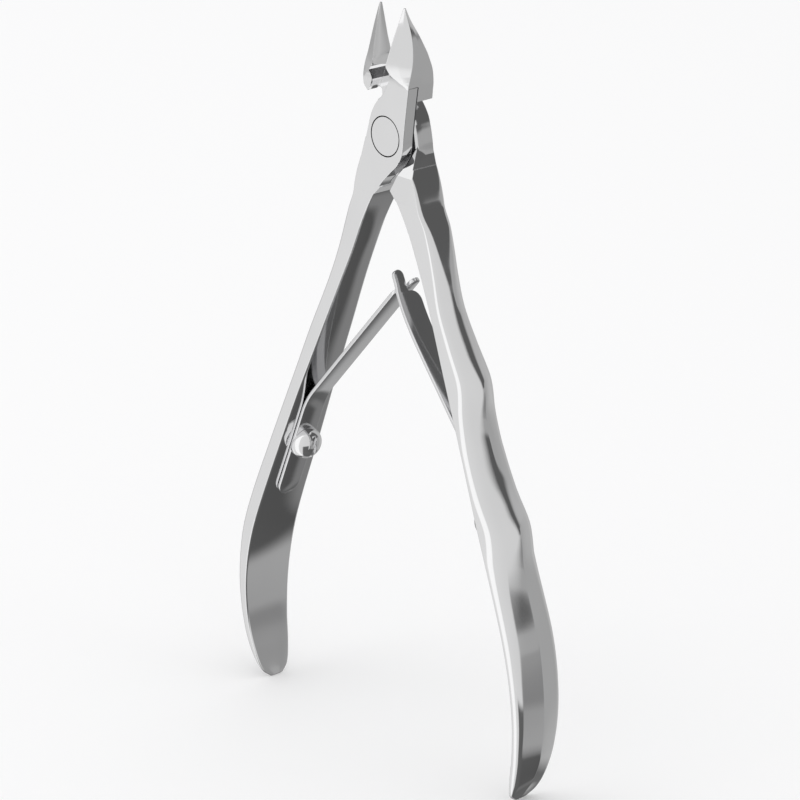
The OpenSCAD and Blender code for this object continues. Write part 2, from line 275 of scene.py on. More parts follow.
# Radius of the rounding between the sides and the crown
PALM_R = [[-4, 0.7], [-20, 0.8], [-101.2, 0.85]]
FINGER_R = [[-4, 0.5], [-12, 0.6], [-20, 0.9], [-34, 1.7], [-45, 2.1], [-52, 2.7], [-57, 3.1],
            [-65, 2.5], [-80, 2.2], [-95, 1.5], [-101.2, 0.9]]


def handle_ring(z, depth, top_t, p_t, sx, r_t):
    x0, w, t = crv(INNER, z, 1), crv(INNER, z, 2), crv(depth, z)
    rim = min(1.0, max(0.12, (-z - 8) / 7))
    tail = max(0.0, (-z - 96) / 5.2)
    h = crv(top_t, z) * (1 - 0.6 * tail)
    p = crv(p_t, z)
    r1 = min(0.42 * rim, t * 0.4, w * 0.4)
    r2 = min(crv(r_t, z) * rim, t * 0.5, w * 0.42)
    if sx > 0:
        r2 = min(crv(r_t, z) * rim, t - 1.1 * r1 - 0.05, w * 0.6)
    s = 0.3
    for _ in range(6):                       # slope where the rounding meets the crown
        v1 = w - r2 * (1 - math.sin(s))
        s = math.atan(h * p / v1)
    tc = t - r2 * math.cos(s)
    d1 = t
    half = []
    c = 0.16 * smooth(-9, -16, z)            # the inside face is crowned a little
    for v in (0.0, 0.25, 0.5, 0.75):
        half.append((c * v * v, v * (w - r1)))
    for a in (0, 18, 36, 54, 72, 90):
        a = math.radians(a)
        half.append((c + (r1 - c) * (1 - math.cos(a)), w - r1 + r1 * math.sin(a)))
    half.append((0.5 * (r1 + tc), w))
    for j in range(9):
        a = (math.pi / 2 - s) * j / 8
        half.append((tc + r2 * math.sin(a), w - r2 + r2 * math.cos(a)))
    for q in (0.93, 0.84, 0.74, 0.63, 0.52, 0.41, 0.31, 0.22, 0.14, 0.08, 0.03):
        half.append((d1 + h * (1 - q ** p), v1 * q))
    loop = [(d, v) for d, v in half] + [(d1 + h, 0.0)] + [(d, -v) for d, v in half[:0:-1]]
    return [(sx * (x0 + d + 0.25 * tail * tail * (t / 2 - d)), v, z) for d, v in loop]


def handle(name, sx, depth, top_t, p_t, r2):
    zs = [-4.2, -5.0, -6.0, -7.0, -8.0, -9.0] + list(np.arange(-10, -96, -0.75)) + [
        -96.2, -97, -97.8, -98.5, -99.1, -99.6, -100, -100.4, -100.7, -100.95, -101.1, -101.18]
    return loft(name, [handle_ring(z, depth, top_t, p_t, sx, r2) for z in zs])


# ------------------------------------------------------------- lap joint ----
PLATE = (cat([[1.2, 9.4], [0.1, 7.6], [-0.75, 6.2], [-2.05, 4.95], [-3.15, 3.1],
              [-3.9, 0.6], [-4.5, -1.5], [-4.9, -2.9], [-5.65, -5.7], [-6.6, -9.6]], 8)
         + cat([[-2.45, -9.6], [-0.6, -7.3], [1.2, -5.5], [2.6, -4.15], [3.55, -2.7],
                [3.95, -1.2], [4.08, 0.3], [4.3, 2.35], [4.55, 4.35], [4.82, 6.35],
                [5.1, 8.3]], 6))
REAR = (cat([[1.2, 9.4], [0.1, 7.6], [-0.75, 6.2], [-2.3, 4.95], [-3.55, 3.2],
             [-4.1, 1.6], [-4.55, -0.4], [-4.92, -2.7], [-5.7, -5.7], [-6.7, -9.71]], 8)
        + cat([[-2.35, -9.71], [-0.6, -7.3], [1.2, -5.5], [2.6, -4.15], [3.55, -2.7],
               [3.95, -1.2], [4.08, 0.3], [4.3, 2.35], [4.55, 4.35], [4.82, 6.35],
               [5.1, 8.3]], 6))
WALL_TOP = cat([[1.15, -8.3], [2.2, -6.55], [3.0, -5.15], [3.75, -3.75], [4.2, -2.4],
                [4.42, -1.0]], 6)
WALL = WALL_TOP + [(4.6, -1.6), (5.0, -2.9), (5.85, -5.7), (7.0, -9.6), (2.45, -9.6)]
OVER = WALL_TOP + [(4.6, 2), (-9, 2), (-9, -8.3)]


# thin out the points next to the sharp corners, so that the rim can be drawn in there
REAR_CORNERS = [REAR[0], REAR[-1], (-6.7, -9.71), (-2.35, -9.71)]
REAR = [q for q in REAR if all(math.dist(q, c) < 1e-6 or math.dist(q, c) > 0.75 for c in REAR_CORNERS)]
RELIEF = [(-9, 6.6), (-3.6, 6.6), (-3.3, 6.3), (-3.2, 5.5), (-3.45, 5.1), (-4.35, 4.4), (-9, 4.2)]


def mir(pts):
    return [(-x, z) for x, z in pts]


def ramp(direction):
    """Wedge that slopes a shoulder from the outer face back to the lap plane."""
    a = math.radians(30) * direction
    box = []
    for x in (-12, 12):
        for y in ((-6, 0) if direction < 0 else (0, 6)):
            for z in (0, 12):
                box.append((x, direction * T / 2 + y * math.cos(a) - z * math.sin(a),
                            -5.5 + y * math.sin(a) + z * math.cos(a)))
    f = [(0, 1, 3, 2), (4, 6, 7, 5), (0, 4, 5, 1), (2, 3, 7, 6), (0, 2, 6, 4), (1, 5, 7, 3)]
    return mesh_object("cut_ramp", box, f)


# ------------------------------------------------------------------ jaws ----
EDGE_Y = [[20.4, -1.45], [20, -1.6], [18.3, -2.15], [16.2, -2.88], [14.1, -3.5],
          [12.2, -4.0], [11.56, -4.16], [10.42, -4.02], [9.92, -3.86], [9.44, -3.55],
          [9.04, -3.35], [8.62, -3.05], [8.22, -2.86], [7.6, -2.79], [5.3, -2.78]]
# Below the heel the edge turns across the face towards the ridge
HEEL_X = [[11.56, 0.0], [11.2, 0.12], [10.42, 0.76], [9.92, 1.31], [9.44, 2.1], [9.04, 2.68],
          [8.62, 3.3], [8.22, 3.7], [7.6, 3.75], [5.3, 3.75]]
# Front of the underside that is left between the heel and the joint face
UNDER_Y = [[11.56, -4.16], [11.0, -3.85], [10.4, -3.5], [9.8, -3.18], [9.2, -2.95], [8.6, -2.8],
           [5.3, -2.78]]
RIDGE = [[20.4, 2.66, -1.45], [20, 2.8, -1.5], [19.2, 3.1, -1.52], [17.4, 3.78, -1.47],
         [15.6, 4.36, -1.47], [13.9, 4.72, -1.6], [12, 5.01, -1.9],
         [10.4, 5.15, -2.35], [8.4, 5.05, -2.79], [7.2, 4.9, -2.78], [5.3, 4.6, -2.78]]
BACK = [[20.4, 2.62, -1.35], [20, 2.72, -1.3], [18, 3.1, -0.5], [16, 3.74, 0.48],
        [14.3, 4.17, 1.22], [12.85, 4.44, 1.84], [10.5, 4.64, 2.58], [8.4, 4.66, 2.78],
        [7.2, 4.55, 2.78], [5.3, 4.38, 2.78]]
THROAT = [[20.4, 0.92], [12.5, 0.92], [11.4, 0.86], [10.6, 0.5], [9.8, 0.12],
          [9.0, 0.02], [5.3, 0.02]]


def jaw_ring(z, sx):
    tip = np.array([K * z + 0.03, crv(EDGE_Y, z)])       # where the cutting edge line would be
    e = tip.copy()
    e2 = tip.copy()
    if z < 11.56:
        e[0] += crv(HEEL_X, z)
        e2[1] = crv(UNDER_Y, z)
    r = np.array([crv(RIDGE, z, 1), crv(RIDGE, z, 2)])
    b = np.array([crv(BACK, z, 1), crv(BACK, z, 2)])
    f = crv(THROAT, z)
    s = min(1, max(0.06, (z - 8) / 4))
    i = np.array([e2[0] + (b[0] - 0.25 - e2[0]) * f, e2[1] + (b[1] - e2[1]) * (0.97 + 0.03 * (1 - s))])
    if z >= 11.56:
        e2 = e + (i - e) * 0.05
    h = 0.28 * s * min(1, (20.6 - z) / 4)
    inner = [(e + e2) / 2, e2]
    for q in (0.12, 0.26, 0.42, 0.58, 0.74, 0.88):
        inner.append(e2 + (i - e2) * q + np.array([h * 4 * q * (1 - q), 0]))
    o = (r + b) / 2 + np.array([0.04 * s * min(1, (20.6 - z) / 5), 0])
    rad = min(1.0, (20.6 - z) / 4)
    front = (e + r) / 2 + np.array([0, -0.02 * s])
    pts = [e] + inner + [i, b, o, r, front]
    radii = [0.02] + [0.0] * 8 + [0.12 * rad, 0.16 * rad, 0.8, 0.1 * rad, 0.5]
    loop = []
    n = len(pts)
    for k in range(n):
        if 1 <= k <= 8:
            loop.append(tuple(pts[k]))
            continue
        trio = round_poly([pts[k - 1], pts[k], pts[(k + 1) % n]], [0, radii[k], 0], 4)[5:10]
        loop += trio
    return [(sx * x, y, z) for x, y in loop]


def jaw(name, sx):
    zs = [20.0, 19.85, 19.6] + list(np.arange(19.2, 12.3, -0.4)) + list(np.arange(12.2, 8.0, -0.2)) + [
        8.0, 7.6, 7.2, 6.8, 6.4, 6.0, 5.6, 5.3]
    return loft(name, [jaw_ring(z, sx) for z in zs])


THROAT_PTS = [(3.0, 8.3), (2.8, 9.2), (2.5, 10.1), (2.0, 10.7), (1.3, 11.15), (-3, 11.15)]
CLAW = [(-3, 4), (7, 4), (7, 7.6), (5.3, 7.6), (5.0, 7.35), (4.05, 6.4), (3.45, 7.2)] + THROAT_PTS
LONG_CLAW = [(-3, 4), (7, 4), (7, 5.95), (4.3, 5.9), (3.75, 5.65), (3.35, 6.3), (3.1, 7.4)] + THROAT_PTS


def cylinder(name, x, z, r, y0, y1, n=96):
    ring = [(x + r * math.cos(2 * math.pi * i / n), z + r * math.sin(2 * math.pi * i / n))
            for i in range(n)]
    return loft(name, [[(a, y0, b) for a, b in ring], [(a, y1, b) for a, b in ring]])


def spun(name, prof, n=96, frame_m=None):
    """Solid of revolution about local z of a profile [(r, h)], then moved by frame_m (mm)."""
    rings, faces = [], []
    for r, h in prof:
        rings.append([(r * math.cos(2 * math.pi * i / n), r * math.sin(2 * math.pi * i / n), h)
                      for i in range(n)])
    verts = [p for r in rings for p in r]
    m = len(rings)
    for j in range(m - 1):
        for i in range(n):
            q = (i + 1) % n
            faces.append((j * n + i, j * n + q, (j + 1) * n + q, (j + 1) * n + i))
    faces.append(tuple(range(n - 1, -1, -1)))
    faces.append(tuple(range((m - 1) * n, m * n)))
    if frame_m is not None:
        verts = [tuple((frame_m @ Vector((*p, 1.0)))[:3]) for p in verts]
    return mesh_object(name, verts, faces)


# turned profile about the pivot axis, cut from the plates: bore, counterbore, chamfer
def bore(prof):
    rot = Matrix.Rotation(math.radians(-90), 4, "X")          # local z becomes +Y
    return spun("cut_bore", prof, 128, rot)


def paint(obj, mat, test):
    """Give the faces that pass test(centre, normal), in millimetres, their own material."""
    obj.data.materials.append(mat)
    k = len(obj.data.materials) - 1
    for f in obj.data.polygons:
        c = f.center * 1000
        if test((c.x, c.y + T / 2, c.z), f.normal):
            f.material_index = k


def build_half(name, front):
    """Front half: left handle, front plate, right jaw. Rear half: the mirror image of that
    lay-out, with its own handle and plate."""
    sx = -1 if front else 1                  # side of the handle
    UNIT[0] = 1.0
    if front:
        h = handle("h", -1, PALM, PALM_TOP, PALM_P, PALM_R)
        o_wall, o_over, rdir = mir(WALL), mir(OVER), 1
        plate = slab("p", PLATE, -T / 2, GF, r_front=0.10, r_back=(0.42, 0.3))
        j = jaw("j", 1)
        claw = slab("c", LONG_CLAW, GF + 0.005, T)
        over = slab("v", o_over, GF + 0.003, T)
    else:
        h = handle("h", 1, FINGER, FINGER_TOP, FINGER_P, FINGER_R)
        o_wall, o_over, rdir = WALL, OVER, -1
        plate = slab("p", mir(REAR), GR, T / 2, r_front=(1.5, 0.36), r_back=0.10, seg=2)
        j = jaw("j", -1)
        claw = slab("c", mir(CLAW), -2 * T, GR - 0.005)
        over = slab("v", o_over, -T, GR - 0.003)
    apply_boolean(h, slab("w", o_wall, -T / 2 + 0.004, T / 2 - 0.004))
    apply_boolean(h, over, "DIFFERENCE")
    apply_boolean(h, ramp(rdir), "DIFFERENCE")
    apply_boolean(j, claw, "DIFFERENCE")
    if not front:
        apply_boolean(j, slab("c2", RELIEF, -0.8, 1.5), "DIFFERENCE")
        apply_boolean(plate, slab("c3", RELIEF, -0.8, 1.5), "DIFFERENCE")
    apply_boolean(h, plate)
    apply_boolean(h, j)
    if front:
        apply_boolean(h, bore([(3.2, -T), (3.2, -T / 2 + 1.22), (2.03, -T / 2 + 1.22),
                               (2.03, T)]), "DIFFERENCE")
    else:
        apply_boolean(h, bore([(2.02, -T), (2.02, T / 2 - 0.82), (2.62, T / 2 - 0.82),
                               (2.62, T / 2 - 0.1), (2.73, T / 2 + 0.01), (2.73, T)]), "DIFFERENCE")
    h.name = name
    UNIT[0] = 0.001
    h.data.transform(Matrix.Scale(0.001, 4))
    tidy(h, crisp=True)
    weighted(h)
    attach(h, "front_body" if front else "rear_body")
    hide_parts("front_half" if front else "rear_half")
    return h


# ------------------------------------------------------------- materials ----
def steel(name, base, rough, line_scale=(900, 900, 18), lines=0.02, blotch=0.03, spot=0.0,
          edge=0.03):
    """Polished steel: fine polishing lines, soft blotches in the polish, rougher rubbed edges."""
    m = bpy.data.materials.new(name)
    m.use_nodes = True
    nt = m.node_tree
    nt.nodes.clear()
    out = nt.nodes.new("ShaderNodeOutputMaterial")
    bs = nt.nodes.new("ShaderNodeBsdfPrincipled")
    nt.links.new(bs.outputs[0], out.inputs[0])
    bs.inputs["Metallic"].default_value = 1.0
    bs.inputs["Roughness"].default_value = rough
    bs.inputs["Base Color"].default_value = (*base, 1)
    tc = nt.nodes.new("ShaderNodeTexCoord")
    mp = nt.nodes.new("ShaderNodeMapping")
    mp.inputs["Scale"].default_value = line_scale
    nt.links.new(tc.outputs["Object"], mp.inputs["Vector"])
    fine = nt.nodes.new("ShaderNodeTexNoise")
    fine.inputs["Scale"].default_value = 6.0
    fine.inputs["Detail"].default_value = 3.0
    nt.links.new(mp.outputs[0], fine.inputs["Vector"])
    soft = nt.nodes.new("ShaderNodeTexNoise")
    soft.inputs["Scale"].default_value = 130.0
    soft.inputs["Detail"].default_value = 2.5
    nt.links.new(tc.outputs["Object"], soft.inputs["Vector"])
    geo = nt.nodes.new("ShaderNodeNewGeometry")

    def math_node(op, a, b=None, clamp=False):
        n = nt.nodes.new("ShaderNodeMath")
        n.operation = op
        n.use_clamp = clamp
        for k, v in enumerate((a, b)):
            if v is None:
                continue
            if isinstance(v, (int, float)):
                n.inputs[k].default_value = v
            else:
                nt.links.new(v, n.inputs[k])
        return n.outputs[0]

    wear = nt.nodes.new("ShaderNodeMapRange")
    wear.inputs["From Min"].default_value = 0.505
    wear.inputs["From Max"].default_value = 0.60
    nt.links.new(geo.outputs["Pointiness"], wear.inputs["Value"])
    r = math_node("MULTIPLY", math_node("SUBTRACT", fine.outputs[0], 0.5), lines * 2)
    r = math_node("ADD", r, math_node("MULTIPLY", math_node("SUBTRACT", soft.outputs[0], 0.5), blotch * 2))
    r = math_node("ADD", r, math_node("MULTIPLY", wear.outputs[0], edge))
    r = math_node("ADD", r, rough)
    r = math_node("MAXIMUM", r, 0.02)
    nt.links.new(r, bs.inputs["Roughness"])
    mix = nt.nodes.new("ShaderNodeMix")
    mix.data_type = "RGBA"
    mix.inputs["A"].default_value = (*[c * 0.965 for c in base], 1)
    mix.inputs["B"].default_value = (*[min(1, c * 1.02) for c in base], 1)
    nt.links.new(soft.outputs[0], mix.inputs["Factor"])
    nt.links.new(mix.outputs["Result"], bs.inputs["Base Color"])
    bump = nt.nodes.new("ShaderNodeBump")
    bump.inputs["Strength"].default_value = 0.05
    bump.inputs["Distance"].default_value = 0.00002
    nt.links.new(fine.outputs[0], bump.inputs["Height"])
    bev = nt.nodes.new("ShaderNodeBevel")
    bev.samples = 4
    bev.inputs["Radius"].default_value = 0.00009
    nt.links.new(bev.outputs[0], bump.inputs["Normal"])
    nt.links.new(bump.outputs[0], bs.inputs["Normal"])
    return m


mirror = steel("polished_steel", (0.93, 0.93, 0.935), 0.075)
mirror_b = steel("polished_steel_b", (0.93, 0.93, 0.935), 0.075)
pin_m = steel("pin_steel", (0.92, 0.92, 0.925), 0.085, (700, 18, 700))
leaf_m = steel("leaf_steel", (0.86, 0.86, 0.87), 0.11, (400, 30, 400), lines=0.03, blotch=0.04)
screw_m = steel("screw_steel", (0.94, 0.94, 0.945), 0.06)
# Painted shade: a near-black steel laid where shade falls in the gaps, along the lap groove and round the pin head.
gap_shade_m = steel("painted_gap_shade", (0.10, 0.10, 0.105), 0.45, lines=0.05, blotch=0.08)
# Painted shade: a dark steel for the shaded cavity under the jaws and the shaded underside of the plate by the joint.
throat_shade_m = steel("painted_throat_shade", (0.17, 0.17, 0.175), 0.32, (500, 500, 60), lines=0.06, blotch=0.1)

# ---------------------------------------------------------------- pieces ----
front = build_half("half_palm", True)
front.data.materials.clear()
front.data.materials.append(mirror)
# Painted shade: the counterbore wall round the pin head is made dark for the shade in the gap between pin and bore.
paint(front, gap_shade_m, lambda c, n: abs(math.hypot(c[0], c[2]) - 3.2) < 0.06 and c[1] < -T / 2 + 1.21
      and abs(n.y) < 0.3)
# Painted shade: the rounded back rim of the front plate is made dark to draw the shaded gap at the lap plane.
paint(front, gap_shade_m, lambda c, n: YL - 0.43 < c[1] < YL and n.y > 0.12 and -9 < c[2] < 8.2
      and math.hypot(c[0], c[2]) > 3.4 and n.y < 0.97)
rear = build_half("half_finger", False)
rear.data.materials.clear()
rear.data.materials.append(mirror_b)
# Painted shade: the throat below the left jaw's hollow is made dark for the shaded cavity there.
paint(rear, throat_shade_m, lambda c, n: 8.2 < c[2] < 10.35 and -4.3 < c[0] < 1.0 and -4.0 < c[1] < 1.0
      and n.y > -0.6 and (n.z > 0.12 or n.x > 0.2))
# Painted shade: the down-facing lower-right rim of the front plate is made dark for the shadow band along it.
paint(front, throat_shade_m, lambda c, n: -6.8 < c[2] < -1.8 and 0.3 < c[0] < 4.2 and n.x > 0.45 and n.z < -0.3
      and c[1] < YL)


def pin():
    rot = Matrix.Rotation(math.radians(-90), 4, "X")
    f = -T / 2
    prof = [(2.97, f), (3.01, f + 0.015), (3.02, f + 0.05), (3.02, f + 1.18), (2.0, f + 1.2), (2.0, T / 2 - 0.8),
            (2.55, T / 2 - 0.78), (2.55, T / 2 - 0.1), (2.48, T / 2 - 0.02), (2.4, T / 2)]
    o = spun("pin_flush", prof, 128, rot)
    tidy(o)
    weighted(o)
    o.data.materials.append(pin_m)
    # Painted shade: the side of the pin head is made dark for the shade in the gap round it.
    paint(o, gap_shade_m, lambda c, n: abs(n.y) < 0.3 and c[1] < f + 1.19)
    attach(o, "rear_body")
    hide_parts("pivot_pin")
    return o


pin()

# ------------------------------------------------------- screws and leaves --
FOOT_A = math.atan(0.4)
SEAT, LEAF_T, LEAF_W = 0.03, 0.6, 4.4
SCREW_S = {-1: 9.2, 1: 11.4}
BEND_Z = {-1: 47.9, 1: 45.8}
FOOT_L = {-1: 20.5, 1: 22.8}
ARM_A = {-1: math.radians(41.1), 1: math.radians(39.2)}


def foot_point(sx, u, v, w):
    """Leaf foot frame: u down the handle from the bend, v across, w off the handle."""
    b = BEND_Z[sx]
    x0, z0 = 19.0 - 0.4 * (47 - b), -b
    du = (math.sin(FOOT_A), -math.cos(FOOT_A))
    dw = (-math.cos(FOOT_A), -math.sin(FOOT_A))
    return (sx * (x0 + u * du[0] + w * dw[0]), v, z0 + u * du[1] + w * dw[1])


def screw(sx):
    h, r, s = 2.85, 2.72, SCREW_S[sx]
    prof = [(1.0, -LEAF_T - SEAT - 1.6), (1.0, 0.0), (r - 0.12, 0.0), (r - 0.03, 0.05), (r, 0.15), (r, 0.55)]
    for k in range(1, 15):
        a = math.pi / 2 * k / 14
        prof.append((max(r * math.cos(a), 0.02), 0.6 + (h - 0.6) * math.sin(a)))
    o = spun("s", prof, 96)
    cut = loft("cut", [[(-4 * c, y, z) for y, z in ((-0.35, 1.75), (0.35, 1.75), (0.40, 4), (-0.40, 4))]
                       for c in (1, -1)])
    apply_boolean(o, cut, "DIFFERENCE")
    co = np.array([v.co for v in o.data.vertices], float).reshape(-1, 3)
    co = co * 1000
    co[:, 1] += T / 2
    turn = math.radians(SLOT_TURN[sx])
    new = []
    for x, y, z in co:
        a, b = x * math.cos(turn) - y * math.sin(turn), x * math.sin(turn) + y * math.cos(turn)
        new.append(foot_point(sx, s + a, b, SEAT + LEAF_T + z))
    o.data.vertices.foreach_set("co", put(new).astype(np.float32).ravel())
    o.data.update()
    o.name = "screw_palm" if sx < 0 else "screw_finger"
    tidy(o, 32)
    weighted(o)
    o.data.materials.clear()
    o.data.materials.append(screw_m)
    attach(o, "front_body" if sx < 0 else "rear_body")
    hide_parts("left_leaf_screw" if sx < 0 else "right_leaf_screw")
    return o


SLOT_TURN = {-1: 0.0, 1: 20.0}
screw(-1)
screw(1)


def strip_ring(p, n, v0, v1, t=LEAF_T, r=0.13):
    """Cross-section of a leaf at path point p with normal n in the XZ plane."""
    sec = []
    for cv, cw, a0 in ((v1 - r, t / 2 - r, 0), (v0 + r, t / 2 - r, 90), (v0 + r, -t / 2 + r, 180),
                       (v1 - r, -t / 2 + r, 270)):
        for k in range(4):
            a = math.radians(a0 + 30 * k)
            sec.append((cv + r * math.cos(a), cw + r * math.sin(a)))
    return [(p[0] + n[0] * w, v, p[1] + n[1] * w) for v, w in sec]


def leaf_path(sx):
    """Middle line of a leaf in (X, Z): up the foot, round the bend, along the arm.
    Returns a function of signed length: negative on the foot, positive on the arm."""
    b = foot_point(sx, 0, 0, SEAT + LEAF_T / 2)
    b = np.array([b[0], b[2]])
    fd = np.array([sx * math.sin(FOOT_A), -math.cos(FOOT_A)])
    ad = np.array([-sx * math.sin(ARM_A[sx]), math.cos(ARM_A[sx])])
    L = 2.6                                       # half length of the curved stretch
    if sx > 0:
        # the arm grows steeper towards the crossing, and its tongue stands nearly upright
        pts, p, ds = [], b + ad * 14.0, 0.1
        for k in range(181):
            s = 14.0 + k * ds
            g = math.radians(crv([[0, 39.2], [-14, 39.2], [-17, 38.4], [-20, 36.0], [-23, 31.0], [-25.4, 26.0],
                                  [-27, 22.0], [-28.4, 24.0], [-29.4, 28.0], [-31, 32.0], [-33, 32.0]], -s))
            d = np.array([-math.sin(g), math.cos(g)])
            pts.append((s, p.copy(), d))
            p = p + d * ds

    def at(s):
        if sx > 0 and s >= 14.0:
            k = min(int((s - 14.0) / 0.1), 179)
            s0, p0, d0 = pts[k]
            return p0 + d0 * (s - s0), d0 + (pts[k + 1][2] - d0) * (s - s0) / 0.1
        if s <= -L:
            return b + fd * (-s), -fd
        if s >= L:
            return b + ad * s, ad
        q = (s + L) / (2 * L)
        p0, p2 = b + fd * L, b + ad * L
        p = (1 - q) ** 2 * p0 + 2 * q * (1 - q) * b + q * q * p2
        d = 2 * (1 - q) * (b - p0) + 2 * q * (p2 - b)
        return p, d / np.linalg.norm(d)
    return at


def lengths(a, b, step):
    n = max(2, int(round(abs(b - a) / step)) + 1)
    return list(np.linspace(a, b, n))


def end_round(s, s_end, w, r):
    """Half width near a rounded end of radius r."""
    d = abs(s_end - s)
    if d >= r:
        return w
    return w - r + math.sqrt(max(r * r - (r - d) ** 2, 0.0))


def leaf(sx):
    at = leaf_path(sx)
    w = LEAF_W / 2
    end = -FOOT_L[sx]
    left = sx < 0
    ss = ([end + d for d in (0.01, 0.05, 0.12, 0.25, 0.42, 0.65, 0.95, 1.3, 1.7, 2.2)]
          + lengths(end + 2.9, -2.9, 0.9) + lengths(-2.6, 2.6, 0.26))
    if left:
        # the front half stops at the other leaf, the rear half runs on behind its tongue
        split, arm_end = 31.4, 33.5
        ss += lengths(3.2, split - 1.6, 0.9) + [split - d for d in (1.1, 0.8, 0.55, 0.35, 0.2, 0.1, 0.03)]
        ss += [split, split + 0.06] + [arm_end - d for d in (1.3, 1.0, 0.7, 0.45, 0.25, 0.1, 0.0)]
    else:
        # the rear half is rounded off, the front half runs on as the tongue
        split, arm_end = 26.7, 30.2
        ss += lengths(3.2, split - 2.8, 0.7) + [split - d for d in (2.2, 1.8, 1.45, 1.1, 0.8, 0.55, 0.35, 0.2, 0.08)]
        ss += lengths(split, arm_end - 1.3, 0.3) + [arm_end - d for d in (1.05, 0.8, 0.6, 0.42, 0.26, 0.14, 0.05, 0.0)]
    rings = []
    for s in ss:
        p, d = at(s)
        n = np.array([-d[1], d[0]])
        hi = lo = w
        if s < end + w:
            hi = lo = max(0.16, end_round(s, end, w, w))
        if left:
            if s > split - 1.0:
                lo = max(end_round(s, split, w, 0.9), 0.3) if s < split else -0.12
            if s > arm_end - 1.0:
                c = (w + 0.12) / 2
                half = end_round(s, arm_end, c - 0.12, 0.95)
                hi, lo = c + half, -c + half
        else:
            if s > split - 2.1:
                hi = end_round(s, split, w, 2.1) if s < split else 0.0
                hi = max(hi, -0.1)
            if s >= split:
                hi = 0.1 - 0.2 * smooth(split, split + 0.5, s)
                lo = w - 0.12 * smooth(split, split + 1.5, s)
            if s > arm_end - 1.05:
                c, h0 = -(0.1 + w - 0.12) / 2, (w - 0.22) / 2
                half = max(end_round(s, arm_end, h0, h0 - 0.02), 0.14)
                hi, lo = c + half, -(c - half)
        rings.append(strip_ring(p, n, -lo, max(hi, -lo + 0.28)))
    o = loft("leaf", rings)
    tidy(o, 32)
    o.name = "leaf_palm" if left else "leaf_finger"
    o.data.materials.clear()
    o.data.materials.append(leaf_m)
    pa, _ = at(-2.6)
    pb, _ = at(2.6)
    tuple(put([(pa[0], 0, pa[1])])[0])
    tuple(put([(pb[0], 0, pb[1])])[0])
    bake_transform(o)
    side = "left" if left else "right"
    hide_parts(side + "_leaf_foot", side + "_leaf_arm")
    return o


leaf(-1)
leaf(1)

# ----------------------------------------------------------------- stage ----
lo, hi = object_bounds()
zf = min(lo.z, cad_lo.z)
me = bpy.data.meshes.new("floor")
n = 96
me.from_pydata([(4 * math.cos(2 * math.pi * i / n), 4 * math.sin(2 * math.pi * i / n), zf - 0.0001)
                for i in range(n)], [], [tuple(range(n))])
floor = bpy.data.objects.new("floor", me)
bpy.context.scene.collection.objects.link(floor)
fm = bpy.data.materials.new("floor")
fm.use_nodes = True
fm.node_tree.nodes["Principled BSDF"].inputs["Base Color"].default_value = (0.97, 0.97, 0.97, 1)
fm.node_tree.nodes["Principled BSDF"].inputs["Roughness"].default_value = 1.0
fm.node_tree.nodes["Principled BSDF"].inputs["Specular IOR Level"].default_value = 0.0
me.materials.append(fm)
floor.visible_glossy = False
floor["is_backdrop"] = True

# World: a white studio seen in the polish as a few soft-edged panels.
world = bpy.data.worlds.new("studio")
bpy.context.scene.world = world
world.use_nodes = True
nt = world.node_tree
nt.nodes.clear()


def N(kind, **kw):
    n_ = nt.nodes.new(kind)
    for k, v in kw.items():
        setattr(n_, k, v)
    return n_


def M(op, a, b=None, c=None, clamp=False):
    n_ = nt.nodes.new("ShaderNodeMath")
    n_.operation = op
    n_.use_clamp = clamp
    for k, v in enumerate((a, b, c)):
        if v is None:
            continue
        if isinstance(v, (int, float)):
            n_.inputs[k].default_value = v
        else:
            nt.links.new(v, n_.inputs[k])
    return n_.outputs[0]


def lin(v):
    """Display value to linear light."""
    return v / 12.92 if v <= 0.04045 else ((v + 0.055) / 1.055) ** 2.4


tc = N("ShaderNodeTexCoord")
sep = N("ShaderNodeSeparateXYZ")
nt.links.new(tc.outputs["Generated"], sep.inputs[0])
az = M("ARCTAN2", sep.outputs["X"], M("MULTIPLY", sep.outputs["Y"], -1.0))     # 0 front, +90 right
az01 = M("ADD", M("DIVIDE", az, 2 * math.pi), 0.5)                             # 0..1
el = M("ARCSINE", sep.outputs["Z"])
el_deg = M("MULTIPLY", el, 180 / math.pi)


def az_ramp(stops):
    """Colour ramp round the horizon: [(degrees from the front, display value)]."""
    r = N("ShaderNodeValToRGB")
    r.color_ramp.interpolation = "LINEAR"
    e = r.color_ramp.elements
    while len(e) > 1:
        e.remove(e[-1])
    first = True
    for d, v in stops:
        c = (lin(v),) * 3 + (1,)
        if first:
            e[0].position = d / 360 + 0.5
            e[0].color = c
            first = False
        else:
            q = e.new(d / 360 + 0.5)
            q.color = c
    nt.links.new(az01, r.inputs[0])
    s = N("ShaderNodeSeparateColor")
    nt.links.new(r.outputs[0], s.inputs[0])
    return s.outputs[0]


def step(x, a, b):
    m = N("ShaderNodeMapRange")
    m.interpolation_type = "SMOOTHSTEP"
    m.inputs["From Min"].default_value = a
    m.inputs["From Max"].default_value = b
    nt.links.new(x, m.inputs["Value"])
    return m.outputs[0]


def mixv(f, a, b):
    return M("ADD", M("MULTIPLY", a, M("SUBTRACT", 1.0, f)), M("MULTIPLY", b, f))


